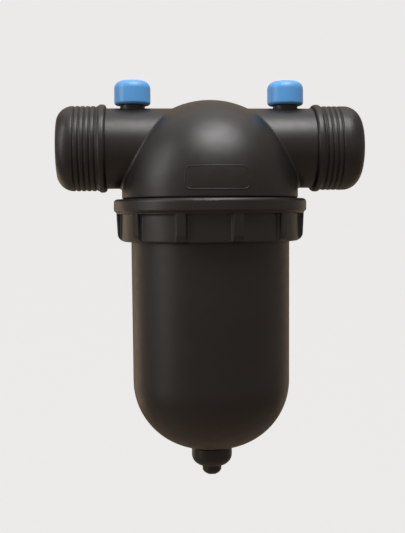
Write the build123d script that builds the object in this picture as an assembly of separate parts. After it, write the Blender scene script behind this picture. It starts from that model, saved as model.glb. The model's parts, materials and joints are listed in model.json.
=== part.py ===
from build123d import *
import os
from math import asin, atan, cos, degrees, radians, sin, sqrt

# Irrigation disc filter: a head with two threaded pipe ends in line, a bowl that a ring nut
# holds under it, and inside the bowl a cartridge of stacked discs.
# Sizes are in millimetres. Every piece is drawn about the middle of the pipe run, where the
# pipe axis crosses the bowl axis, and then moved so that the origin is the centre of the
# inlet's end face. +X is the way the water flows, and +Z is up.

# Pipe run of the head
neck_length = 10.2
pipe_bore_r = 21.0
pipe_thread_r = 29.8
pipe_neck_r = 28.2
end_ring_r = 22.4
nose_rounding = 12.0
thread_length = 28.4
inlet_groove_count = 5
outlet_groove_count = 4
groove_pitch = 3.65
groove_floor_width = 0.3
groove_mouth_width = 2.8
groove_depth = 0.8
collar_gap = 0.2
collar_r = 30.9
collar_length = 5.6
collar_slope = 2.0
collar_neck_rounding = 2.4
rounding_steps = 4

# Dome and chamber of the head
dome_r = 62.3
dome_drop = 28.4
skirt_height = 7.1
skirt_rounding = 1.2
crown_wall = 4.5
dome_blend = 2.0
web_thickness = 5.0

# Screwed sleeve below the dome, and the socket that takes the cartridge
shoulder_width = 4.9
sleeve_wall = 5.3
sleeve_length = 19.0
duct_wall = 4.5
socket_r = 22.0
socket_depth = 17.0
socket_wall = 4.0
socket_foot = 42.0

# Test points on the pipe run
test_offset = 54.3
test_boss_r = 8.75
test_boss_height = 30.1
nipple_r = 8.3
nipple_length = 12.0
nipple_hole_r = 2.5
nipple_chamfer = 0.8

# Caps of the test points
cap_r = 12.7
cap_height = 17.0
cap_rounding = 5.7
cap_foot_rounding = 2.0
cap_depth = 13.4
cap_seal_thickness = 1.4

# Ring nut
thread_height = 1.2
nut_wall = 3.1
rib_height = 3.2
rib_taper = 1.0
rim_step = 1.7
rim_flow = 2.6
rim_flow_rise = 1.45
rim_height = 10.2
rim_rounding = 2.4
nut_height = 29.6
nut_foot_rounding = 5.6
rib_count = 11
rib_width = 7.4
pocket_direction = -94.2
pocket_rounding = 1.5
rib_rounding = 1.0

# Bowl
bowl_step = 1.3
bowl_draft = 0.5
bowl_wall = 4.5
bowl_length = 158.7
knuckle_share = 0.863
crown_share = 1.295
flange_step = 2.4
flange_thickness = 6.7
bowl_seal_inset = 1.1
bowl_seal_wire_r = 1.25

# Drain under the bowl
drain_nipple_r = 10.5
drain_nipple_length = 6.6
drain_hole_r = 7.0
drain_cap_r = 14.4
drain_cap_straight = 5.6
drain_cap_rounding = 7.6
drain_seal_thickness = 1.5
drain_knob_across_flats = 13.0
drain_knob_length = 6.8
drain_knob_side_rounding = 4.6
drain_knob_end_rounding = 4.3

# Cartridge
spine_plate_r = 41.0
spine_plate_thickness = 3.5
spigot_bore_r = 18.0
spigot_seal_wire_r = 1.2
spigot_seal_depth = 8.0
disc_count = 30
disc_outer_r = 40.0
disc_inner_r = 30.0
disc_thickness = 3.1
rib_blade_count = 6
rib_blade_thickness = 3.0
rib_blade_inner_r = 20.0
hoop_count = 2
hoop_height = 3.0
hoop_outer_r = 26.0
end_plate_thickness = 4.0
end_plate_rise = 2.0
stud_r = 7.0
stud_end_gap = 1.0
pressure_plate_thickness = 4.0
spring_length = 12.0
spring_turns = 4
spring_mean_r = 12.0
spring_wire_r = 1.1
washer_r = 16.0
washer_thickness = 2.0
knob_r = 18.0
knob_height = 11.0
knob_depth = 8.5
knob_lobes = 6
knob_scallop_r = 6.0
knob_rounding = 1.5

# Fine threads on the test points, the drain and the stud, which stand on the walls drawn here
fine_thread_height = 0.5

# Clearances: across a screwed or sliding fit, round a seal, and between two faces that meet
screw_gap = 0.3
slide_gap = 0.4
seal_gap = 0.2
face_gap = 0.1
seat_gap = 0.3

# How far a cut runs past the wall that it goes through
cut_margin = 5.0

# Heights and radii that follow from the sizes above
run_half = dome_r + neck_length + collar_length + thread_length
dome_z = -dome_drop
shoulder_z = dome_z - skirt_height
sleeve_foot_z = shoulder_z - sleeve_length
duct_r = pipe_bore_r + duct_wall
sleeve_r = dome_r - shoulder_width
chamber_r = sleeve_r - sleeve_wall
bowl_r = sleeve_r - bowl_step
bowl_foot_r = bowl_r - bowl_draft
bowl_seal_r = bowl_r - bowl_seal_inset
knuckle_r = knuckle_share * bowl_foot_r
crown_r = crown_share * bowl_foot_r
nut_crest_r = sleeve_r + thread_height + screw_gap
nut_bore_r = nut_crest_r + thread_height
pocket_floor_r = nut_bore_r + nut_wall
rib_r = pocket_floor_r + rib_height
rim_r = rib_r + rim_step
nut_top_z = shoulder_z - seat_gap
nut_foot_z = nut_top_z - nut_height
flange_top_z = sleeve_foot_z - seat_gap
flange_foot_z = flange_top_z - flange_thickness
flange_r = bowl_r + flange_step
lip_top_z = flange_foot_z - seat_gap
bowl_foot_z = flange_top_z - bowl_length
screw_room = 2 * fine_thread_height + screw_gap
cap_bore_r = nipple_r + screw_room
drain_bore_r = drain_nipple_r + screw_room
knob_bore_r = stud_r + screw_room
stud_hole_r = stud_r + fine_thread_height + slide_gap
drain_rim_z = bowl_foot_z + crown_r - sqrt(crown_r**2 - drain_bore_r**2) - seat_gap
nipple_foot_z = bowl_foot_z - drain_nipple_length
spigot_r = socket_r - slide_gap
plate_top_z = -socket_foot - slide_gap - face_gap
stack_top_z = plate_top_z - spine_plate_thickness - face_gap
stack_height = disc_count * (disc_thickness + face_gap)
stack_foot_z = stack_top_z - stack_height
plate_foot_z = stack_foot_z - pressure_plate_thickness
spring_top_z = plate_foot_z - face_gap
washer_top_z = spring_top_z - spring_length - face_gap
knob_top_z = washer_top_z - washer_thickness - face_gap
end_plate_foot_z = stack_foot_z + end_plate_rise
stud_foot_z = knob_top_z - knob_depth + stud_end_gap


def turned(outline, axis=Axis.Z, arc=360):
    """A solid turned from a closed outline that is drawn as radius and height."""
    return revolve(make_face(Plane.XZ * outline), axis, arc)


def drum(radius, low, high):
    """An upright cylinder between two heights."""
    return Pos(0, 0, low) * Cylinder(radius, high - low, align=(Align.CENTER, Align.CENTER, Align.MIN))


def tube(outer, inner, low, high):
    """An upright ring between two heights."""
    return drum(outer, low, high) - drum(inner, low, high)


def along_x(radius, start, end):
    """A cylinder on the pipe axis between two places."""
    return Pos((start + end) / 2, 0, 0) * Rot(0, 90, 0) * Cylinder(radius, end - start)


def rings(solid, radius, height):
    """The circular edges about an upright axis with this radius at this height."""
    close = 0.02
    circles = solid.edges().filter_by(GeomType.CIRCLE)
    return [
        edge
        for edge in circles
        if abs(edge.radius - radius) < close and abs(edge.arc_center.Z - height) < close
    ]


def rounded_corner(x, y, radius, start, end):
    """Points from one angle to another about a centre, which make a small rounding of cones."""
    turns = [radians(start + (end - start) * step / rounding_steps) for step in range(rounding_steps + 1)]
    return [(x + radius * cos(turn), y + radius * sin(turn)) for turn in turns]


def thread_groove():
    """The ring that is cut between two rounded ridges of the pipe thread, drawn at the bowl axis."""
    run = (groove_mouth_width - groove_floor_width) / 2
    flank_r = (run**2 + groove_depth**2) / (2 * groove_depth)
    flank_turn = degrees(asin(run / flank_r))
    ridge_x, ridge_y = groove_mouth_width / 2, pipe_thread_r - flank_r
    right = rounded_corner(ridge_x, ridge_y, flank_r, 90 + flank_turn, 90)
    right.append((ridge_x, pipe_thread_r + groove_depth))
    left = [(-x, y) for x, y in reversed(right)]
    return turned(Polyline(*right, *left, close=True), Axis.X)


def pipe_end(groove_count):
    """Half of the pipe run towards +X: neck, bead-shaped collar, grooved thread and rounded nose."""
    collar_out = run_half - thread_length
    collar_in = collar_out - collar_length
    collar_rise = collar_r - pipe_thread_r
    slope_r = (collar_slope**2 + collar_rise**2) / (2 * collar_rise)
    slope_end = degrees(asin(1 - collar_rise / slope_r))
    nose_centre_r = pipe_thread_r - nose_rounding
    nose_length = sqrt(nose_rounding**2 - (end_ring_r - nose_centre_r) ** 2)
    nose_start = run_half - nose_length
    neck_side = collar_neck_rounding
    outline = Polyline(
        (run_half, end_ring_r),
        (run_half, 0),
        (0, 0),
        (0, pipe_neck_r),
        (collar_in, pipe_neck_r),
        *rounded_corner(collar_in + neck_side, collar_r - neck_side, neck_side, 180, 90),
        *rounded_corner(collar_out - collar_slope, collar_r - slope_r, slope_r, 90, slope_end),
        (nose_start, pipe_thread_r),
    )
    nose = RadiusArc((nose_start, pipe_thread_r), (run_half, end_ring_r), nose_rounding)
    half = turned(outline + nose, Axis.X)
    first = collar_out + collar_gap + groove_mouth_width / 2
    for number in range(groove_count):
        half -= Pos(first + number * groove_pitch, 0, 0) * thread_groove()
    return half


def dome():
    """The dome, its skirt down to the shoulder, and the sleeve that the nut screws on."""
    crown = RadiusArc((0, dome_z + dome_r), (dome_r, dome_z), dome_r)
    wall = Polyline(
        (dome_r, dome_z),
        *rounded_corner(dome_r - skirt_rounding, shoulder_z + skirt_rounding, skirt_rounding, 0, -90),
        (sleeve_r, shoulder_z),
        (sleeve_r, sleeve_foot_z),
        (0, sleeve_foot_z),
        (0, dome_z + dome_r),
    )
    return turned(crown + wall)


def chamber():
    """The room inside the dome, which keeps its width from the round crown to the open sleeve."""
    crown_centre_z = dome_z + dome_r - crown_wall - chamber_r
    return drum(chamber_r, sleeve_foot_z - 1, crown_centre_z) + Pos(0, 0, crown_centre_z) * Sphere(chamber_r)


def test_point():
    """A boss on top of the pipe with the small nipple that a cap screws on."""
    nipple_top = test_boss_height + nipple_length
    boss = drum(test_boss_r, pipe_bore_r + 2, test_boss_height)
    nipple = drum(nipple_r, test_boss_height, nipple_top)
    nipple = chamfer(rings(nipple, nipple_r, nipple_top), nipple_chamfer)
    return boss + nipple


def head():
    """The moulded head: pipe run, dome, sleeve, test points and the outlet's elbow inside."""
    shell = dome() + pipe_end(outlet_groove_count) + mirror(pipe_end(inlet_groove_count), Plane.YZ)
    seam = [
        edge
        for edge in shell.edges()
        if edge.center().Z > shoulder_z + 1
        and abs(edge.center().X) < dome_r
        and edge.geom_type not in (GeomType.CIRCLE, GeomType.LINE)
    ]
    shell = fillet(seam, dome_blend)
    for side in (-1, 1):
        shell += Pos(side * test_offset, 0, 0) * test_point()
    shell -= chamber()
    duct = along_x(duct_r, 0, chamber_r) + Sphere(duct_r) + drum(duct_r, -socket_foot + socket_depth, 0)
    duct += drum(socket_r + socket_wall, -socket_foot, -socket_foot + socket_depth)
    web = Pos(0, 0, dome_r / 2 + dome_z) * Box(2 * duct_r, web_thickness, dome_r)
    shell += duct
    shell += web & dome()
    shell -= along_x(pipe_bore_r, -run_half, -socket_r - socket_wall)
    shell -= along_x(pipe_bore_r, 0, run_half) + Sphere(pipe_bore_r)
    shell -= drum(pipe_bore_r, -socket_foot, 0)
    shell -= drum(socket_r, -socket_foot, -socket_foot + socket_depth)
    for side in (-1, 1):
        nipple_top = test_boss_height + nipple_length
        shell -= Pos(side * test_offset, 0, 0) * drum(nipple_hole_r, 0, nipple_top)
    return shell


def test_cap():
    """A screw cap with a well rounded top, drawn over the test point on the bowl axis."""
    foot = test_boss_height + seat_gap
    cap = drum(cap_r, foot, foot + cap_height)
    cap = fillet(rings(cap, cap_r, foot + cap_height), cap_rounding)
    cap = fillet(rings(cap, cap_r, foot), cap_foot_rounding)
    return cap - drum(cap_bore_r, foot, foot + cap_depth)


def test_seal():
    """The flat rubber disc between the nipple and the roof of its cap."""
    foot = test_boss_height + nipple_length + face_gap
    return drum(cap_bore_r - seal_gap, foot, foot + cap_seal_thickness)


def ring_nut():
    """The ring nut: a plain rim over ribs, with a pocket between each two ribs."""
    foot_rib_r = rib_r - rib_taper
    rim_foot_z = nut_top_z - rim_height
    flow_mid_z = rim_foot_z + rim_flow_rise
    flow_turn = 2 * degrees(atan(rim_step / rim_flow))
    flow_r = rim_flow / 2 / sin(radians(flow_turn))
    lean = degrees(atan(rib_taper / (flow_mid_z - rim_flow / 2 - nut_foot_z)))
    body = turned(
        Polyline(
            (nut_bore_r, nut_top_z),
            (rim_r, nut_top_z),
            *rounded_corner(rim_r - flow_r, flow_mid_z + rim_flow / 2, flow_r, 0, -flow_turn),
            *rounded_corner(rib_r + flow_r, flow_mid_z - rim_flow / 2, flow_r, 180 - flow_turn, 180 + lean)[1:],
            (foot_rib_r, nut_foot_z),
            (bowl_r + slide_gap, nut_foot_z),
            (bowl_r + slide_gap, lip_top_z),
            (nut_bore_r, lip_top_z),
            close=True,
        )
    )
    body = fillet(rings(body, foot_rib_r, nut_foot_z), nut_foot_rounding)
    body = fillet(rings(body, rim_r, nut_top_z), rim_rounding)
    step = 360 / rib_count
    rib_angle = 2 * degrees(asin(rib_width / 2 / rib_r))
    section = Polyline(
        (pocket_floor_r, rim_foot_z),
        (rim_r + cut_margin, rim_foot_z),
        (rim_r + cut_margin, nut_foot_z - cut_margin),
        (pocket_floor_r, nut_foot_z - cut_margin),
        close=True,
    )
    pocket = turned(section, Axis.Z, step - rib_angle)
    deep = pocket.edges().filter_by(
        lambda edge: abs(edge.center().X**2 + edge.center().Y**2) < (pocket_floor_r + 1) ** 2
    )
    deep = [edge for edge in deep if edge.center().Z > nut_foot_z - cut_margin / 2]
    pocket = fillet(deep, pocket_rounding)
    first_pocket = pocket_direction - (step - rib_angle) / 2
    for number in range(rib_count):
        body -= Rot(0, 0, first_pocket + number * step) * pocket
    upright = body.edges().filter_by(lambda edge: edge.bounding_box().size.Z > rib_rounding)
    rib_edges = [
        edge
        for edge in upright
        if edge.center().Z < rim_foot_z - pocket_rounding
        and edge.center().X ** 2 + edge.center().Y ** 2 > (pocket_floor_r + rib_height / 3) ** 2
    ]
    return fillet(rib_edges, rib_rounding)


def dished_end(radius, knuckle, crown, centre_z):
    """The knuckle and crown arcs that close a bowl, and the height of its lowest point."""
    crown_centre_z = centre_z + sqrt((crown - knuckle) ** 2 - (radius - knuckle) ** 2)
    share = crown / (crown - knuckle)
    meet = ((radius - knuckle) * share, crown_centre_z + (centre_z - crown_centre_z) * share)
    low = crown_centre_z - crown
    arcs = RadiusArc((radius, centre_z), meet, knuckle) + RadiusArc(meet, (0, low), crown)
    return arcs, low


def bowl():
    """The bowl: flange with a seal groove, lightly drafted wall, dished end and drain nipple."""
    rise = crown_r - sqrt((crown_r - knuckle_r) ** 2 - (bowl_foot_r - knuckle_r) ** 2)
    centre_z = bowl_foot_z + rise
    outer_end, low = dished_end(bowl_foot_r, knuckle_r, crown_r, centre_z)
    outer = turned(
        Polyline(
            (0, low),
            (0, flange_top_z),
            (flange_r, flange_top_z),
            (flange_r, flange_foot_z),
            (bowl_r, flange_foot_z),
            (bowl_foot_r, centre_z),
        )
        + outer_end
    )
    outer = fillet(rings(outer, flange_r, flange_foot_z), 0.8)
    outer += drum(drain_nipple_r, nipple_foot_z, bowl_foot_z + bowl_wall / 2)
    outer = chamfer(rings(outer, drain_nipple_r, nipple_foot_z), nipple_chamfer)
    inner_end, inner_low = dished_end(
        bowl_foot_r - bowl_wall, knuckle_r - bowl_wall, crown_r - bowl_wall, centre_z
    )
    room = turned(
        Polyline(
            (0, inner_low),
            (0, flange_top_z),
            (bowl_r - bowl_wall, flange_top_z),
            (bowl_foot_r - bowl_wall, centre_z),
        )
        + inner_end
    )
    seat_r = bowl_seal_wire_r + seal_gap
    groove = tube(bowl_seal_r + seat_r, bowl_seal_r - seat_r, flange_top_z - 2 * bowl_seal_wire_r, flange_top_z)
    return outer - room - groove - drum(drain_hole_r, nipple_foot_z, inner_low + cut_margin)


def bowl_seal():
    """The O-ring in the top of the bowl's flange."""
    return Pos(0, 0, flange_top_z - bowl_seal_wire_r + face_gap) * Torus(bowl_seal_r, bowl_seal_wire_r)


def drain_cap():
    """The drain's cap: a rounded cup with a six-sided knob under it."""
    cup_foot_z = drain_rim_z - drain_cap_straight - drain_cap_rounding
    knob_foot_z = cup_foot_z - drain_knob_length
    cup = drum(drain_cap_r, cup_foot_z, drain_rim_z)
    cup = fillet(rings(cup, drain_cap_r, cup_foot_z), drain_cap_rounding)
    knob_side = RegularPolygon(drain_knob_across_flats / 2, 6, major_radius=False)
    knob = extrude(Pos(0, 0, knob_foot_z) * knob_side, drain_knob_length + 1)
    knob = fillet(knob.edges().filter_by(Axis.Z), drain_knob_side_rounding)
    knob = fillet(knob.faces().sort_by(Axis.Z)[0].edges(), drain_knob_end_rounding)
    roof_z = nipple_foot_z - drain_seal_thickness - 2 * face_gap
    return cup + knob - drum(drain_bore_r, roof_z, drain_rim_z)


def drain_seal():
    """The flat rubber disc between the drain nipple and its cap."""
    top = nipple_foot_z - face_gap
    return drum(drain_bore_r - seal_gap, top - drain_seal_thickness, top)


def spine():
    """The cartridge's spine: top plate with its spigot, an open cage of blades, and a stud."""
    spigot_top_z = -socket_foot + socket_depth - 2 * slide_gap
    core = drum(spine_plate_r, plate_top_z - spine_plate_thickness, plate_top_z)
    core += drum(spigot_r, plate_top_z - spine_plate_thickness, spigot_top_z)
    core = chamfer(rings(core, spigot_r, spigot_top_z), nipple_chamfer)
    seal_z = spigot_top_z - spigot_seal_depth
    groove_half = spigot_seal_wire_r + seal_gap
    groove_r = socket_r - seal_gap - 2 * spigot_seal_wire_r - face_gap
    core -= tube(spigot_r + 1, groove_r, seal_z - groove_half, seal_z + groove_half)
    core -= drum(spigot_bore_r, plate_top_z - spine_plate_thickness, spigot_top_z)
    blade_foot_z = end_plate_foot_z + end_plate_thickness
    blade_top_z = plate_top_z - spine_plate_thickness
    blade_r = disc_inner_r - seat_gap
    blade_height = blade_top_z - blade_foot_z
    blade = Pos((rib_blade_inner_r + blade_r) / 2, 0, (blade_top_z + blade_foot_z) / 2) * Box(
        blade_r - rib_blade_inner_r, rib_blade_thickness, blade_height
    )
    for number in range(rib_blade_count):
        core += Rot(0, 0, number * 360 / rib_blade_count) * blade
    hoop_step = blade_height / (hoop_count + 1)
    for number in range(1, hoop_count + 1):
        hoop_z = blade_top_z - number * hoop_step
        core += tube(hoop_outer_r, rib_blade_inner_r, hoop_z - hoop_height / 2, hoop_z + hoop_height / 2)
    core += drum(blade_r, end_plate_foot_z, blade_foot_z)
    return core + drum(stud_r, stud_foot_z, end_plate_foot_z)


def spigot_seal():
    """The O-ring on the spigot, which seals it in the head's socket."""
    seal_z = -socket_foot + socket_depth - 2 * slide_gap - spigot_seal_depth
    return Pos(0, 0, seal_z) * Torus(socket_r - seal_gap - spigot_seal_wire_r, spigot_seal_wire_r)


def disc(number):
    """One filter disc of the stack, counted from the top."""
    top = stack_top_z - number * (disc_thickness + face_gap)
    return tube(disc_outer_r, disc_inner_r, top - disc_thickness, top)


def pressure_plate():
    """The plate that slides on the stud and presses the discs together."""
    return tube(spine_plate_r, stud_hole_r, plate_foot_z, stack_foot_z)


def clamp_spring():
    """The coil spring between the pressure plate and its washer."""
    height = spring_length - 2 * spring_wire_r
    path = Helix(height / spring_turns, height, spring_mean_r)
    section = Plane(origin=path @ 0, z_dir=path % 0) * Circle(spring_wire_r)
    coil = sweep(section, path, is_frenet=True)
    return Pos(0, 0, spring_top_z - spring_length + spring_wire_r) * coil


def spring_washer():
    """The flat washer that the spring stands on."""
    return tube(washer_r, stud_hole_r, washer_top_z - washer_thickness, washer_top_z)


def clamp_knob():
    """The lobed knob that screws on the stud and loads the spring."""
    foot = knob_top_z - knob_height
    knob = drum(knob_r, foot, knob_top_z)
    scallop = Pos(knob_r + knob_scallop_r / 2, 0, 0) * drum(knob_scallop_r, foot, knob_top_z)
    for number in range(knob_lobes):
        knob -= Rot(0, 0, (number + 0.5) * 360 / knob_lobes) * scallop
    knob = fillet(knob.faces().sort_by(Axis.Z)[0].edges(), knob_rounding)
    return knob - drum(knob_bore_r, knob_top_z - knob_depth, knob_top_z)


inlet_place = Pos(-test_offset, 0, 0)
outlet_place = Pos(test_offset, 0, 0)
pieces = {
    "head": head(),
    "ring_nut": ring_nut(),
    "bowl": bowl(),
    "bowl_seal": bowl_seal(),
    "inlet_cap": inlet_place * test_cap(),
    "inlet_cap_seal": inlet_place * test_seal(),
    "outlet_cap": outlet_place * test_cap(),
    "outlet_cap_seal": outlet_place * test_seal(),
    "drain_cap": drain_cap(),
    "drain_seal": drain_seal(),
    "cartridge_spine": spine(),
    "spigot_seal": spigot_seal(),
    "pressure_plate": pressure_plate(),
    "clamp_spring": clamp_spring(),
    "spring_washer": spring_washer(),
    "clamp_knob": clamp_knob(),
}
for number in range(disc_count):
    pieces[f"disc_{number + 1:02d}"] = disc(number)

os.makedirs("parts", exist_ok=True)
for name, piece in pieces.items():
    export_step(Pos(run_half, 0, 0) * piece, f"parts/{name}.step")
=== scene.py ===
# %% [markdown]
# # An irrigation disc filter, dressed for its picture
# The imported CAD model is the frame: the head, the ring nut, the bowl, the caps and the cartridge
# are all there as solids, each on the body that it moves with. This lesson gives each of them its
# finish, adds the screw threads and the fine shapes that the solids leave out, and sets up the
# light and the camera. All lengths are metres, in the same frame as the CAD.

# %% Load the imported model
import json
from math import cos, pi, radians, sin

import bmesh
import bpy
import numpy as np
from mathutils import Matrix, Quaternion, Vector


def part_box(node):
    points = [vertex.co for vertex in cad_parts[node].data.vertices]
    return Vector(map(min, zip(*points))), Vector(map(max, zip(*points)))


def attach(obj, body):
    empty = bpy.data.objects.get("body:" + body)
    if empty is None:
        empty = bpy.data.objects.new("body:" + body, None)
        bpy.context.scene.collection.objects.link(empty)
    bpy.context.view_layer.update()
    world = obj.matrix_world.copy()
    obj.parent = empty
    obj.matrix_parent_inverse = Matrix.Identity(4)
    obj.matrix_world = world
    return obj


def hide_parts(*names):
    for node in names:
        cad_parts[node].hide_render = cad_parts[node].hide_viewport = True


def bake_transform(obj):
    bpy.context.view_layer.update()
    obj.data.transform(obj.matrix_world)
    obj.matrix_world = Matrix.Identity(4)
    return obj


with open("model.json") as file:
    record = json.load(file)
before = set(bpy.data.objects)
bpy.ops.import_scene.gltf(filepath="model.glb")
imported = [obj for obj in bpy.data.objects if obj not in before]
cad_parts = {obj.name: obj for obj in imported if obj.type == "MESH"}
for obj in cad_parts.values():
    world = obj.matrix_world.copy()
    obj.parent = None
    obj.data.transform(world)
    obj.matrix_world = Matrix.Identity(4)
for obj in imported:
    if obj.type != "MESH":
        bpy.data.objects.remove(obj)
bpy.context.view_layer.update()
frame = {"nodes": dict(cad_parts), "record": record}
bowl_low, bowl_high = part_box("bowl")
AXIS_X = (bowl_low.x + bowl_high.x) / 2
print("bowl axis at x", round(AXIS_X, 4))

# %% [markdown]
# ## Surfaces from arrays
# A moulded part is mostly turned shapes and profiles carried along a line. Both are grids: rows of
# points with the same number in each row. Working a grid out with numpy keeps a shape's formula in
# one place, and one helper can turn any grid into faces, so this lesson does not use the modelling
# operators.

# %% Grid to mesh
MERGE_DISTANCE = 1e-6


def grid_faces(rows, columns, closed_rows=False, closed_columns=True):
    """Four-sided faces between neighbours in a grid. A closed side joins its last row to its first."""
    index = np.arange(rows * columns).reshape(rows, columns)
    if closed_rows:
        index = np.vstack([index, index[:1]])
    if closed_columns:
        index = np.hstack([index, index[:, :1]])
    corners = [index[:-1, :-1], index[:-1, 1:], index[1:, 1:], index[1:, :-1]]
    return np.stack(corners, axis=-1).reshape(-1, 4)


def piece_from_grid(name, points, closed_rows=False, capped=False, sharp=40.0):
    """An object from a grid of points. Doubled points are merged, the faces point outward, and an edge
    that turns by more than the angle called sharp stays sharp."""
    rows, columns = points.shape[:2]
    faces = grid_faces(rows, columns, closed_rows).tolist()
    if capped:
        faces += [list(range(columns)), list(range((rows - 1) * columns, rows * columns))]
    mesh = bpy.data.meshes.new(name)
    mesh.from_pydata(points.reshape(-1, 3), [], faces)
    shape = bmesh.new()
    shape.from_mesh(mesh)
    bmesh.ops.remove_doubles(shape, verts=shape.verts, dist=MERGE_DISTANCE)
    bmesh.ops.recalc_face_normals(shape, faces=shape.faces)
    shape.to_mesh(mesh)
    shape.free()
    mesh.shade_smooth()
    mesh.set_sharp_from_angle(angle=radians(sharp))
    piece = bpy.data.objects.new(name, mesh)
    bpy.context.scene.collection.objects.link(piece)
    return piece


def fit_out(piece, body, material, replaced=()):
    """Puts a finished piece on its body, its material and the nodes that it stands for."""
    piece.data.materials.append(material)
    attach(piece, body)
    if replaced:
        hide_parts(*replaced)
    print(piece.name, "rides on", body, "with", len(piece.data.polygons), "faces")
    return piece


# %% [markdown]
# ## Moulded plastic
# The head, nut and bowl are glass filled nylon: nearly black, with a satin skin that shows the
# mould's fine texture. A single flat colour would look like paint. So three noises work together:
# a broad one shifts the tint a little, a middle one varies the gloss, and a fine one makes the
# grain as bump. They read Object coordinates, so the pattern stays on the piece.

# %% Node helpers
NOISE_LOW, NOISE_HIGH = 0.3, 0.7


def start_material(name):
    """A new node material, and its tree, shader and Object coordinates."""
    material = bpy.data.materials.new(name)
    material.use_nodes = True
    tree = material.node_tree
    place = tree.nodes.new("ShaderNodeTexCoord").outputs["Object"]
    return material, tree, tree.nodes["Principled BSDF"], place


def noise(tree, place, scale, detail=3.0):
    """A noise from 0 to 1, with its scale in waves per metre."""
    node = tree.nodes.new("ShaderNodeTexNoise")
    node.inputs["Scale"].default_value = scale
    node.inputs["Detail"].default_value = detail
    tree.links.new(place, node.inputs["Vector"])
    return node.outputs["Fac"]


def between(tree, factor, low, high):
    """Carries a noise's usual range to the range from low to high."""
    node = tree.nodes.new("ShaderNodeMapRange")
    node.inputs["From Min"].default_value = NOISE_LOW
    node.inputs["From Max"].default_value = NOISE_HIGH
    node.inputs["To Min"].default_value = low
    node.inputs["To Max"].default_value = high
    tree.links.new(factor, node.inputs["Value"])
    return node.outputs["Result"]


def tint(tree, factor, dark, light):
    """A colour between two colours."""
    node = tree.nodes.new("ShaderNodeMix")
    node.data_type = "RGBA"
    node.inputs["A"].default_value = (*dark, 1)
    node.inputs["B"].default_value = (*light, 1)
    tree.links.new(factor, node.inputs["Factor"])
    return node.outputs["Result"]


def bump(tree, height, depth, under=None):
    """A bump from a height between 0 and 1, depth in metres, on top of another bump."""
    node = tree.nodes.new("ShaderNodeBump")
    node.inputs["Strength"].default_value = 1.0
    node.inputs["Distance"].default_value = depth
    tree.links.new(height, node.inputs["Height"])
    if under is not None:
        tree.links.new(under, node.inputs["Normal"])
    return node.outputs["Normal"]


# %% Moulded plastic finish
PLASTIC_IOR = 1.55
TINT_SCALE, GLOSS_SCALE, WAVE_SCALE, GRAIN_SCALE = 22.0, 140.0, 30.0, 2200.0


def moulded(name, dark, light, gloss, grain_depth=2.0e-5, wave_depth=1.0e-4):
    """Satin moulded plastic: the tint from a broad noise, the roughness from a middle one, and slight
    waves and a fine grain as bump."""
    material, tree, shader, place = start_material(name)
    shader.inputs["IOR"].default_value = PLASTIC_IOR
    broad = between(tree, noise(tree, place, TINT_SCALE, 2.0), 0.0, 1.0)
    tree.links.new(tint(tree, broad, dark, light), shader.inputs["Base Color"])
    patches = noise(tree, place, GLOSS_SCALE, 4.0)
    tree.links.new(between(tree, patches, *gloss), shader.inputs["Roughness"])
    waves = bump(tree, noise(tree, place, WAVE_SCALE, 1.0), wave_depth)
    grain = bump(tree, noise(tree, place, GRAIN_SCALE, 2.0), grain_depth, waves)
    tree.links.new(grain, shader.inputs["Normal"])
    return material


head_finish = moulded("head plastic", (0.0095, 0.0090, 0.0085), (0.0130, 0.0124, 0.0118), (0.38, 0.45))
nut_finish = moulded("nut plastic", (0.0095, 0.0089, 0.0082), (0.0135, 0.0126, 0.0116), (0.37, 0.44))
bowl_finish = moulded("bowl plastic", (0.0098, 0.0088, 0.0078), (0.0135, 0.0122, 0.0108), (0.40, 0.47))
cap_finish = moulded(
    "blue cap plastic", (0.103, 0.370, 0.805), (0.112, 0.395, 0.850), (0.34, 0.42),
    grain_depth=1.2e-5, wave_depth=5e-5,
)
spine_finish = moulded("spine plastic", (0.035, 0.036, 0.038), (0.045, 0.046, 0.048), (0.40, 0.50))
print("plastics", [m.name for m in bpy.data.materials if "plastic" in m.name])

# %% [markdown]
# ## Rubber and steel
# The seals are nitrile rubber, dull and slightly dusty. The spring is drawn steel wire, with faint
# marks, and its washer is stamped from strip. Both are small, so one noise each for gloss and bump
# is enough.

# %% Rubber and steel finishes
def plain_finish(name, colour, gloss, scale, depth, metal=0.0):
    """One colour with its roughness and bump from one noise, for rubber and for metal."""
    material, tree, shader, place = start_material(name)
    marks = noise(tree, place, scale, 5.0)
    darker = tuple(0.8 * value for value in colour)
    tree.links.new(tint(tree, between(tree, marks, 0.0, 1.0), darker, colour), shader.inputs["Base Color"])
    tree.links.new(between(tree, marks, *gloss), shader.inputs["Roughness"])
    tree.links.new(bump(tree, marks, depth), shader.inputs["Normal"])
    shader.inputs["Metallic"].default_value = metal
    return material


rubber_finish = plain_finish("nitrile rubber", (0.016, 0.016, 0.016), (0.6, 0.75), 900.0, 1.5e-5)
steel_finish = plain_finish("spring steel", (0.62, 0.62, 0.6), (0.22, 0.34), 1200.0, 3.0e-6, 1.0)

# %% [markdown]
# ## Grooved discs
# Each disc has hundreds of fine radial grooves pressed into both faces. They cross at an angle
# with those of the next disc, and the water passes through that lattice. The grooves are finer than
# a hair, so they are bump: a sine of the angle round the bowl's axis. The angle comes from the
# arctangent of the place measured from that axis.

# %% Disc finish
GROOVES_ROUND = 300
GROOVE_DEPTH = 4.0e-5
DISC_TINT_SCALE, DISC_GLOSS_SCALE = 60.0, 400.0


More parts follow.
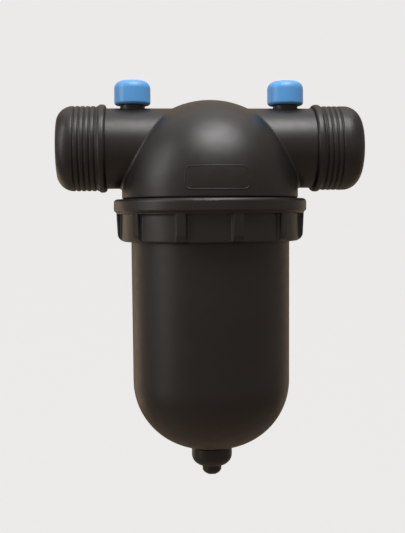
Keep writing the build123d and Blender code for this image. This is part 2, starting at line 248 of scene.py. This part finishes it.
def disc_plastic(name, dark, light):
    """Red moulded plastic whose bump is a sine of the angle about the bowl's axis."""
    material, tree, shader, place = start_material(name)
    broad = between(tree, noise(tree, place, DISC_TINT_SCALE), 0.0, 1.0)
    tree.links.new(tint(tree, broad, dark, light), shader.inputs["Base Color"])
    patches = noise(tree, place, DISC_GLOSS_SCALE)
    tree.links.new(between(tree, patches, 0.38, 0.5), shader.inputs["Roughness"])
    centre = tree.nodes.new("ShaderNodeMapping")
    centre.inputs["Location"].default_value = (-AXIS_X, 0, 0)
    tree.links.new(place, centre.inputs["Vector"])
    parts = tree.nodes.new("ShaderNodeSeparateXYZ")
    tree.links.new(centre.outputs["Vector"], parts.inputs["Vector"])
    angle = tree.nodes.new("ShaderNodeMath")
    angle.operation = "ARCTAN2"
    tree.links.new(parts.outputs["Y"], angle.inputs[0])
    tree.links.new(parts.outputs["X"], angle.inputs[1])
    turns = tree.nodes.new("ShaderNodeMath")
    turns.operation = "MULTIPLY"
    turns.inputs[1].default_value = GROOVES_ROUND
    tree.links.new(angle.outputs[0], turns.inputs[0])
    grooves = tree.nodes.new("ShaderNodeMath")
    grooves.operation = "SINE"
    tree.links.new(turns.outputs[0], grooves.inputs[0])
    tree.links.new(bump(tree, grooves.outputs[0], GROOVE_DEPTH), shader.inputs["Normal"])
    return material


disc_finish = disc_plastic("grooved disc plastic", (0.42, 0.03, 0.025), (0.5, 0.045, 0.035))

# %% [markdown]
# ## The CAD nodes get their finish
# The solids' own surfaces are right as they are, so only their materials change. A loop gives each
# node the finish of its slot, and the three large mouldings have one each, because they come from
# different moulds.

# %% Finishes on the nodes
by_slot = {
    "black_plastic": bowl_finish, "blue_plastic": cap_finish, "disc_plastic": disc_finish,
    "spine_plastic": spine_finish, "rubber": rubber_finish, "spring_steel": steel_finish,
}
by_node = {"head": head_finish, "ring_nut": nut_finish}
for part in frame["record"]["subparts"]:
    node = frame["nodes"][part["node"]]
    node.data.materials.clear()
    node.data.materials.append(by_node.get(part["node"], by_slot[part["material_slot"]]))
print(len(frame["nodes"]), "nodes have their finish")

# %% [markdown]
# ## Screw threads
# A thread is a ridge carried along a helix. On the real mouldings it is rounded, so that it comes
# out of the mould, and it fades in over a part of a turn. A turned solid can't have it, so each
# thread is a piece of its own here, sunk a little into its wall. One function makes them all. The
# crests of a screw and of its nut stay apart, because here the parts slide as well as turn.

# %% Thread ridges
THREAD_SINK = 0.0003
POINTS_PER_TURN = 60
FADE_ANGLE = 2 * pi / 3
LEAST_FADE = 0.02
FLANK_SHARE, CREST_SHARE = 0.55, 0.95


def thread(name, wall_r, height, lead, low, high, base, crest, centre_x=AXIS_X, inward=False):
    """A ridge on a helix. With t the turn, a point is at angle t, at height low + lead t / 2 pi, and at the
    wall's radius plus the profile, which grows from almost nothing over the first third of a turn and
    shrinks back over the last."""
    turns = (high - low - base) / lead
    t = np.linspace(0, 2 * pi * turns, int(POINTS_PER_TURN * turns) + 1)
    fade = np.clip(np.minimum(t, t[-1] - t) / FADE_ANGLE, LEAST_FADE, 1)
    fade = fade * fade * (3 - 2 * fade)
    flank = [
        (-THREAD_SINK, -base / 2),
        (FLANK_SHARE * height, -(base + crest) / 4),
        (CREST_SHARE * height, -crest / 2),
        (height, -crest / 4),
    ]
    profile = np.array(flank + [(out, -along) for out, along in reversed(flank)])
    side = -1 if inward else 1
    rise = np.where(profile[:, 0] > 0, profile[:, 0] * fade[:, None], profile[:, 0])
    r = wall_r + side * rise
    z = low + base / 2 + lead * t[:, None] / (2 * pi) + profile[:, 1]
    points = np.stack([centre_x + r * np.cos(t)[:, None], r * np.sin(t)[:, None], z], axis=-1)
    return piece_from_grid(name, points, capped=True, sharp=60)


# %% [markdown]
# ## The nut's coarse thread
# The ring nut carries the whole bowl against the water's pressure, so its thread is tall, with a
# lead of 5 mm. It shows on the head's sleeve and in the nut when the bowl is off.

# %% Coarse threads
COARSE = {"height": 0.0012, "lead": 0.005, "base": 0.0032, "crest": 0.0016}
SLEEVE_R = 0.0574
NUT_BORE_R = 0.0601
SLEEVE_FOOT_GAP, SLEEVE_TOP_GAP = 0.0008, 0.0012
NUT_LIP = 0.0036
NUT_FOOT_GAP, NUT_TOP_GAP = 0.001, 0.002
sleeve_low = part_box("bowl")[1].z + SLEEVE_FOOT_GAP
nut_low, nut_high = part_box("ring_nut")

span = {"low": sleeve_low, "high": nut_high.z - SLEEVE_TOP_GAP}
sleeve_thread = thread("sleeve_thread", SLEEVE_R, **span, **COARSE)
fit_out(sleeve_thread, "root", head_finish)
span = {"low": nut_low.z + NUT_LIP + NUT_FOOT_GAP, "high": nut_high.z - NUT_TOP_GAP}
nut_thread = thread("nut_thread", NUT_BORE_R, inward=True, **span, **COARSE)
fit_out(nut_thread, "ring_nut", nut_finish)

# %% [markdown]
# ## The fine threads
# The test points, the drain and the clamp's stud have fine threads with a lead of 3 mm, which is
# how far their caps and the knob rise in one turn. Each wall's radius is a real size, and the
# heights come from the boxes of the pieces that screw on.

# %% Fine threads
FINE = {"height": 0.0005, "lead": 0.003, "base": 0.0019, "crest": 0.0008}
NIPPLE_R, CAP_BORE_R = 0.0083, 0.0096
DRAIN_NIPPLE_R, DRAIN_BORE_R = 0.0105, 0.0118
STUD_R, KNOB_BORE_R = 0.0070, 0.0083
THREADED_NIPPLE = 0.0108
THREADED_DRAIN = 0.0060
KNOB_DEPTH = 0.0085
CAP_FOOT_GAP = 0.0008
DRAIN_TOP_GAP = 0.0006
STUD_CLEARANCE = 0.001
STUD_FOOT_GAP, STUD_TOP_GAP = 0.0004, 0.0005
KNOB_FOOT_GAP, KNOB_TOP_GAP = 0.0004, 0.0006

for side in ("inlet", "outlet"):
    low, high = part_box(f"{side}_cap")
    middle = (low.x + high.x) / 2
    span = {"low": low.z + CAP_FOOT_GAP, "high": low.z + THREADED_NIPPLE}
    nipple = thread(f"{side}_nipple_thread", NIPPLE_R, centre_x=middle, **span, **FINE)
    fit_out(nipple, "root", head_finish)
    bore = thread(f"{side}_cap_thread", CAP_BORE_R, centre_x=middle, inward=True, **span, **FINE)
    fit_out(bore, f"{side}_cap", cap_finish)

drain_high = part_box("drain_cap")[1].z
span = {"low": drain_high - THREADED_DRAIN, "high": drain_high - DRAIN_TOP_GAP}
drain_nipple = thread("drain_nipple_thread", DRAIN_NIPPLE_R, **span, **FINE)
fit_out(drain_nipple, "bowl", bowl_finish)
drain_bore = thread("drain_cap_thread", DRAIN_BORE_R, inward=True, **span, **FINE)
fit_out(drain_bore, "drain_cap", bowl_finish)

plate_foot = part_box("pressure_plate")[0].z
knob_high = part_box("clamp_knob")[1].z
stud_foot = knob_high - KNOB_DEPTH + STUD_CLEARANCE
span = {"low": stud_foot + STUD_FOOT_GAP, "high": plate_foot - STUD_TOP_GAP}
stud_thread = thread("stud_thread", STUD_R, **span, **FINE)
fit_out(stud_thread, "cartridge", spine_finish)
span = {"low": knob_high - KNOB_DEPTH + KNOB_FOOT_GAP, "high": knob_high - KNOB_TOP_GAP}
knob_thread = thread("knob_thread", KNOB_BORE_R, inward=True, **span, **FINE)
fit_out(knob_thread, "clamp_knob", spine_finish)

# %% [markdown]
# ## The bare plate on the dome
# The front of the dome has a low frame, where such a filter may carry a plate. It is a thin bead
# that lies on the dome, so a flat outline won't do. The bead's line is a rounded rectangle in arc
# length round the dome and height, which is then wrapped on the dome, and its half round section
# stands square to the dome at each point.

# %% Plate outline
DOME_R = 0.0623
DOME_CENTRE_Z = -0.0284
PLATE_LOW, PLATE_HIGH = -0.0303, -0.0152
PLATE_OFFSET = 0.0010
PLATE_HALF_WIDTH = 0.0215
PLATE_CORNER = 0.0045
BEAD_HALF_WIDTH = 0.00042
BEAD_HEIGHT = 0.00022
BEAD_SINK = 0.0002
LINE_POINTS = 240


def rounded_rectangle(half_width, low, high, corner, per_corner=9):
    """Points at even steps round a rectangle whose corners are quarter circles, in width and height."""
    turn = np.linspace(0, pi / 2, per_corner)
    right, top = half_width - corner, high - corner
    left, bottom = corner - half_width, low + corner
    arcs = []
    for quarter, (x, y) in enumerate([(right, top), (left, top), (left, bottom), (right, bottom)]):
        angle = turn + quarter * pi / 2
        arcs.append(np.stack([x + corner * np.cos(angle), y + corner * np.sin(angle)], axis=-1))
    line = np.vstack(arcs + [arcs[0][:1]])
    along = np.concatenate([[0], np.cumsum(np.hypot(*np.diff(line, axis=0).T))])
    even = np.linspace(0, along[-1], LINE_POINTS + 1)[:-1]
    return np.stack([np.interp(even, along, line[:, 0]), np.interp(even, along, line[:, 1])], axis=-1)


def on_dome(width, z):
    """A point on the dome and its outward direction. The angle is the width over the dome's radius, from
    the front. The radius is the sphere's at that height, or the skirt's below the sphere's middle."""
    rise = np.maximum(z - DOME_CENTRE_Z, 0)
    r = np.sqrt(DOME_R ** 2 - rise ** 2)
    angle = width / DOME_R - pi / 2
    point = np.stack([AXIS_X + r * np.cos(angle), r * np.sin(angle), z + 0 * angle], axis=-1)
    outward = np.stack([r * np.cos(angle), r * np.sin(angle), rise + 0 * angle], axis=-1) / DOME_R
    return point, outward


def bead(name, line):
    """A half round bead on a closed line. It goes across the line by the cosine of half a turn, and out of
    the dome by its sine."""
    point, outward = on_dome(line[:, 0], line[:, 1])
    along = np.roll(point, -1, axis=0) - np.roll(point, 1, axis=0)
    along /= np.linalg.norm(along, axis=1, keepdims=True)
    across = np.cross(outward, along)
    turn = np.linspace(0, pi, 7)
    out = np.concatenate([BEAD_HEIGHT * np.sin(turn), [-BEAD_SINK]])
    sideways = np.concatenate([BEAD_HALF_WIDTH * np.cos(turn), [0]])
    points = point[:, None] + across[:, None] * sideways[:, None] + outward[:, None] * out[:, None]
    return piece_from_grid(name, points, closed_rows=True, sharp=70)


plate_line = rounded_rectangle(PLATE_HALF_WIDTH, PLATE_LOW, PLATE_HIGH, PLATE_CORNER) + (PLATE_OFFSET, 0)
fit_out(bead("plate_outline", plate_line), "root", head_finish)

# %% [markdown]
# ## The disc stack
# One disc node of the CAD stands for about three thin discs. Seen when the bowl is off, the stack's
# side is a fine comb of rounded rims. So each node is replaced by a turned ring whose outer side
# has three rims with a notch between them, from one profile for all thirty. Each ring reaches the
# foot of the next, because pressed discs let no light through.

# %% Comb-edged discs
def turned(name, profile, centre_x=AXIS_X, around=96):
    """A closed profile of radius and height, turned about an upright axis."""
    turn = np.linspace(0, 2 * pi, around, endpoint=False)[:, None]
    r, z = profile[:, 0], profile[:, 1]
    points = np.stack([centre_x + r * np.cos(turn), r * np.sin(turn), z + 0 * turn], axis=-1)
    return piece_from_grid(name, points, closed_rows=True)


THIN_DISCS = 3
NOTCH = 0.0009
DISC_INNER_R = 0.030
DISC_BEVEL = 0.0001
RIM_START, RIM_END, RIM_POINTS = 0.06, 0.94, 5


def comb_profile(inner, outer, low, high):
    """A ring's section with a rim for each thin disc. With s the share of a rim's height, from 0 to 1, the
    radius is the outer one less the notch times one less the square root of sin(pi s)."""
    step = (high - low) / THIN_DISCS
    share = np.linspace(RIM_START, RIM_END, RIM_POINTS)
    rim = outer - NOTCH * (1 - np.sin(pi * share) ** 0.5)
    rim_r = np.concatenate([rim] * THIN_DISCS)
    rim_z = np.concatenate([low + step * (number + share) for number in range(THIN_DISCS)])
    inside = np.array([(inner, high - DISC_BEVEL), (inner, low + DISC_BEVEL)])
    foot = np.array([(inner + DISC_BEVEL, low), (outer - NOTCH, low)])
    top = np.array([(outer - NOTCH, high), (inner + DISC_BEVEL, high)])
    return np.vstack([foot, np.stack([rim_r, rim_z], axis=-1), top, inside])


disc_names = sorted(name for name in frame["nodes"] if name.startswith("disc_"))
disc_feet = [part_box(name)[0].z for name in disc_names]
disc_pitch = abs(disc_feet[1] - disc_feet[0])
print(len(disc_names), "discs, one each", round(1000 * disc_pitch, 3), "mm")
for node_name in disc_names:
    lowest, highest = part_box(node_name)
    outer = highest.x - AXIS_X
    section = comb_profile(DISC_INNER_R, outer, lowest.z, lowest.z + disc_pitch)
    ring = turned(f"{node_name}_combed", section)
    fit_out(ring, "cartridge", disc_finish, [node_name])

# %% [markdown]
# ## The clamp spring
# The spring presses the discs together, and it opens as the clamp knob is screwed down. The CAD solid keeps
# its shape, so a spring of wire replaces it: a circle carried along a helix that climbs less at both ends.
# It is put on no body, so it stays where it is at rest.

# %% Spring of wire
SPRING_MEAN_R, SPRING_WIRE_R, SPRING_TURNS = 0.012, 0.0011, 5
STEPS_PER_TURN, WIRE_SIDES = 48, 12
END_SLOPE = 0.25


def spring(name, mean_r, wire_r, top, bottom, turns):
    """A wire round a helix. With s the share of an end turn that is done, at most 1, the slope goes as the
    end slope plus s squared, so it starts and ends a fifth as steep as in the middle. The wire's circle
    stands in the upright plane through the axis."""
    t = np.linspace(0, 1, STEPS_PER_TURN * turns + 1)
    end = 1 / turns
    slope = END_SLOPE + np.clip(np.minimum(t, 1 - t) / end, 0, 1) ** 2
    climb = np.concatenate([[0], np.cumsum((slope[1:] + slope[:-1]) / 2)])
    z = bottom + wire_r + (top - bottom - 2 * wire_r) * climb / climb[-1]
    angle = 2 * pi * turns * t
    round_wire = np.linspace(0, 2 * pi, WIRE_SIDES, endpoint=False)
    r = mean_r + wire_r * np.cos(round_wire)
    points = np.stack([
        AXIS_X + r * np.cos(angle)[:, None],
        r * np.sin(angle)[:, None],
        z[:, None] + wire_r * np.sin(round_wire),
    ], axis=-1)
    return piece_from_grid(name, points, capped=True, sharp=60)


spring_low, spring_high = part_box("clamp_spring")
wire_spring = spring("wire_spring", SPRING_MEAN_R, SPRING_WIRE_R, spring_high.z, spring_low.z, SPRING_TURNS)
wire_spring.data.materials.append(steel_finish)
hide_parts("clamp_spring")
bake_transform(wire_spring)
print("spring from", round(spring_low.z, 4), "to", round(spring_high.z, 4))

# %% [markdown]
# ## Floor and backdrop
# The filter hangs in its pipe line, so nothing stands on the floor. It is far enough below to leave
# room for the bowl to come off. The sheet curves up behind into a backdrop, as in a photo studio,
# so no horizon line shows. For the camera it is mostly plain white, and for everything else it is a
# pale warm surface that lights the black plastic's edges.

# %% Studio sheet
FLOOR_Z = -0.75
SHEET_FRONT, SHEET_BACK = -2.2, 1.6
SHEET_BEND = 0.7
SHEET_TOP = 2.0
SHEET_HALF_WIDTH = 2.6
SHEET_ROWS = 9
WHITE_SHARE = 0.85


def studio_sheet(name):
    """A profile of floor, quarter circle and wall in the Y and Z directions, carried along X."""
    bend = np.linspace(0, pi / 2, 17)
    y = np.concatenate([[SHEET_FRONT], SHEET_BACK - SHEET_BEND + SHEET_BEND * np.sin(bend), [SHEET_BACK]])
    z = np.concatenate([[FLOOR_Z], FLOOR_Z + SHEET_BEND * (1 - np.cos(bend)), [SHEET_TOP]])
    x = np.linspace(-SHEET_HALF_WIDTH, SHEET_HALF_WIDTH, SHEET_ROWS)[:, None]
    points = np.stack([x + 0 * y, y + 0 * x, z + 0 * x], axis=-1)
    mesh = bpy.data.meshes.new(name)
    faces = grid_faces(SHEET_ROWS, len(y), closed_columns=False).tolist()
    mesh.from_pydata(points.reshape(-1, 3), [], faces)
    mesh.shade_smooth()
    sheet = bpy.data.objects.new(name, mesh)
    bpy.context.scene.collection.objects.link(sheet)
    return sheet


def sheet_finish(name, colour, white):
    """A matt sheet that the camera sees mostly as plain white, so that a little of the shade on it stays."""
    material, tree, shader, _ = start_material(name)
    shader.inputs["Base Color"].default_value = (*colour, 1)
    shader.inputs["Roughness"].default_value = 0.9
    shader.inputs["Specular IOR Level"].default_value = 0.2
    glow = tree.nodes.new("ShaderNodeEmission")
    glow.inputs["Color"].default_value = (*white, 1)
    seen = tree.nodes.new("ShaderNodeLightPath")
    mix = tree.nodes.new("ShaderNodeMixShader")
    share = tree.nodes.new("ShaderNodeMath")
    share.operation = "MULTIPLY"
    share.inputs[1].default_value = WHITE_SHARE
    tree.links.new(seen.outputs["Is Camera Ray"], share.inputs[0])
    tree.links.new(share.outputs[0], mix.inputs["Fac"])
    tree.links.new(shader.outputs["BSDF"], mix.inputs[1])
    tree.links.new(glow.outputs["Emission"], mix.inputs[2])
    tree.links.new(mix.outputs["Shader"], tree.nodes["Material Output"].inputs["Surface"])
    return material


studio = studio_sheet("studio_sheet")
studio.data.materials.append(sheet_finish("studio sheet", (0.50, 0.42, 0.34), (0.94, 0.94, 0.94)))

# %% [markdown]
# ## Light
# Black plastic shows little but reflections, so the lamps are placed by where their reflections
# must fall. One broad highlight on the dome and a band along the pipe both point to a large round
# lamp close above the front. A tall strip from the left draws the narrow light on the dome's and
# the nut's shoulder, an overhead sheet lifts the tops, and warm light from behind draws the thin
# bright rims.

# %% Lamps
LAMP_AIM = Vector((0, 0, -0.03))


def softbox(name, centre, width, height, power, colour=(1, 1, 1), shape="RECTANGLE"):
    """A flat lamp with its centre at a place from the bowl's axis, which faces a point under the pipe."""
    lamp = bpy.data.lights.new(name, "AREA")
    lamp.shape = shape
    lamp.size, lamp.size_y = width, height
    lamp.energy = power
    lamp.color = colour
    holder = bpy.data.objects.new(name, lamp)
    away = Vector(centre) - LAMP_AIM
    holder.location = Vector(centre) + Vector((AXIS_X, 0, 0))
    holder.rotation_euler = away.to_track_quat("Z", "Y").to_euler()
    holder.visible_camera = False
    bpy.context.scene.collection.objects.link(holder)
    return holder


WARM = (1.0, 0.78, 0.56)
softbox("key", (0.07, -0.28, 0.60), 0.54, 0.40, 4.4, shape="ELLIPSE")
softbox("overhead", (0.0, 0.20, 0.77), 1.2, 0.6, 1.4)
softbox("back_top", (0.0, 0.75, 0.62), 1.4, 0.5, 0.9, WARM)
softbox("left_fill", (-0.95, -0.30, 0.42), 0.30, 0.85, 3.2)
softbox("left_low", (-0.95, -0.30, -0.20), 0.30, 0.60, 0.5, (1.0, 0.92, 0.84))
softbox("rim_left", (-0.75, 0.85, -0.15), 0.5, 1.0, 1.5, WARM)
softbox("rim_right", (0.75, 0.85, -0.15), 0.5, 1.0, 0.6, WARM)

# The room's light is dim and warm, and the camera sees a pale room behind the sheet's edges
ROOM_LIGHT = (0.31, 0.262, 0.235)
ROOM_SEEN = (0.83, 0.825, 0.82)
world = bpy.data.worlds.new("studio world")
world.use_nodes = True
sky = world.node_tree
room = sky.nodes["Background"]
room.inputs["Color"].default_value = (*ROOM_LIGHT, 1)
behind = sky.nodes.new("ShaderNodeBackground")
behind.inputs["Color"].default_value = (*ROOM_SEEN, 1)
seen = sky.nodes.new("ShaderNodeLightPath")
either = sky.nodes.new("ShaderNodeMixShader")
sky.links.new(seen.outputs["Is Camera Ray"], either.inputs["Fac"])
sky.links.new(room.outputs["Background"], either.inputs[1])
sky.links.new(behind.outputs["Background"], either.inputs[2])
sky.links.new(either.outputs["Shader"], sky.nodes["World Output"].inputs["Surface"])
bpy.context.scene.world = world

# %% [markdown]
# ## Camera
# The rings on the pipe ends bow outward more on the right than on the left. That puts the camera
# near, about 0.6 m away, and a little to the left of the bowl's axis. The nut's top edge is
# straight in the photo, so the camera is about as high as the nut, and the bowl leans a little, so
# the camera is rolled by a part of a degree.

# %% Camera
FRAME_SIZE = (405, 533)
METRES_PER_PIXEL = 0.0007135
AXIS_PIXEL = (209.6, 148.6)
CAMERA_DISTANCE = 0.600
CAMERA_TURN = radians(4.0)
CAMERA_HEIGHT = -0.045
CAMERA_PITCH = radians(2.0)
CAMERA_ROLL = radians(-0.43)
SENSOR_HEIGHT = 24.0

look = Vector((
    sin(CAMERA_TURN) * cos(CAMERA_PITCH),
    cos(CAMERA_TURN) * cos(CAMERA_PITCH),
    -sin(CAMERA_PITCH),
))
camera_data = bpy.data.cameras.new("camera")
camera = bpy.data.objects.new("camera", camera_data)
camera.location = Vector((AXIS_X, 0, 0)) - look * CAMERA_DISTANCE
camera.location.z = CAMERA_HEIGHT
camera.rotation_mode = "QUATERNION"
camera.rotation_quaternion = (-look).to_track_quat("Z", "Y") @ Quaternion((0, 0, 1), CAMERA_ROLL)

# The pipe axis and the bowl axis cross at a known pixel, and the frame is shifted to put them there
crossing = camera.rotation_quaternion.inverted() @ (Vector((AXIS_X, 0, 0)) - camera.location)
pixels_wide = CAMERA_DISTANCE / METRES_PER_PIXEL
seen_x = pixels_wide * crossing.x / -crossing.z
seen_y = pixels_wide * crossing.y / -crossing.z
camera_data.sensor_fit = "VERTICAL"
camera_data.sensor_height = SENSOR_HEIGHT
camera_data.lens = SENSOR_HEIGHT * pixels_wide / FRAME_SIZE[1]
camera_data.shift_x = (FRAME_SIZE[0] / 2 - AXIS_PIXEL[0] + seen_x) / FRAME_SIZE[1]
camera_data.shift_y = (AXIS_PIXEL[1] - FRAME_SIZE[1] / 2 + seen_y) / FRAME_SIZE[1]
bpy.context.scene.collection.objects.link(camera)
bpy.context.scene.camera = camera
print("lens", round(camera_data.lens, 2))
print("shift", round(camera_data.shift_x, 4), round(camera_data.shift_y, 4))

# %% [markdown]
# ## View transform
# The standard view transform shows colours as they were written.

# %% Finish
bpy.context.scene.view_settings.view_transform = "Standard"
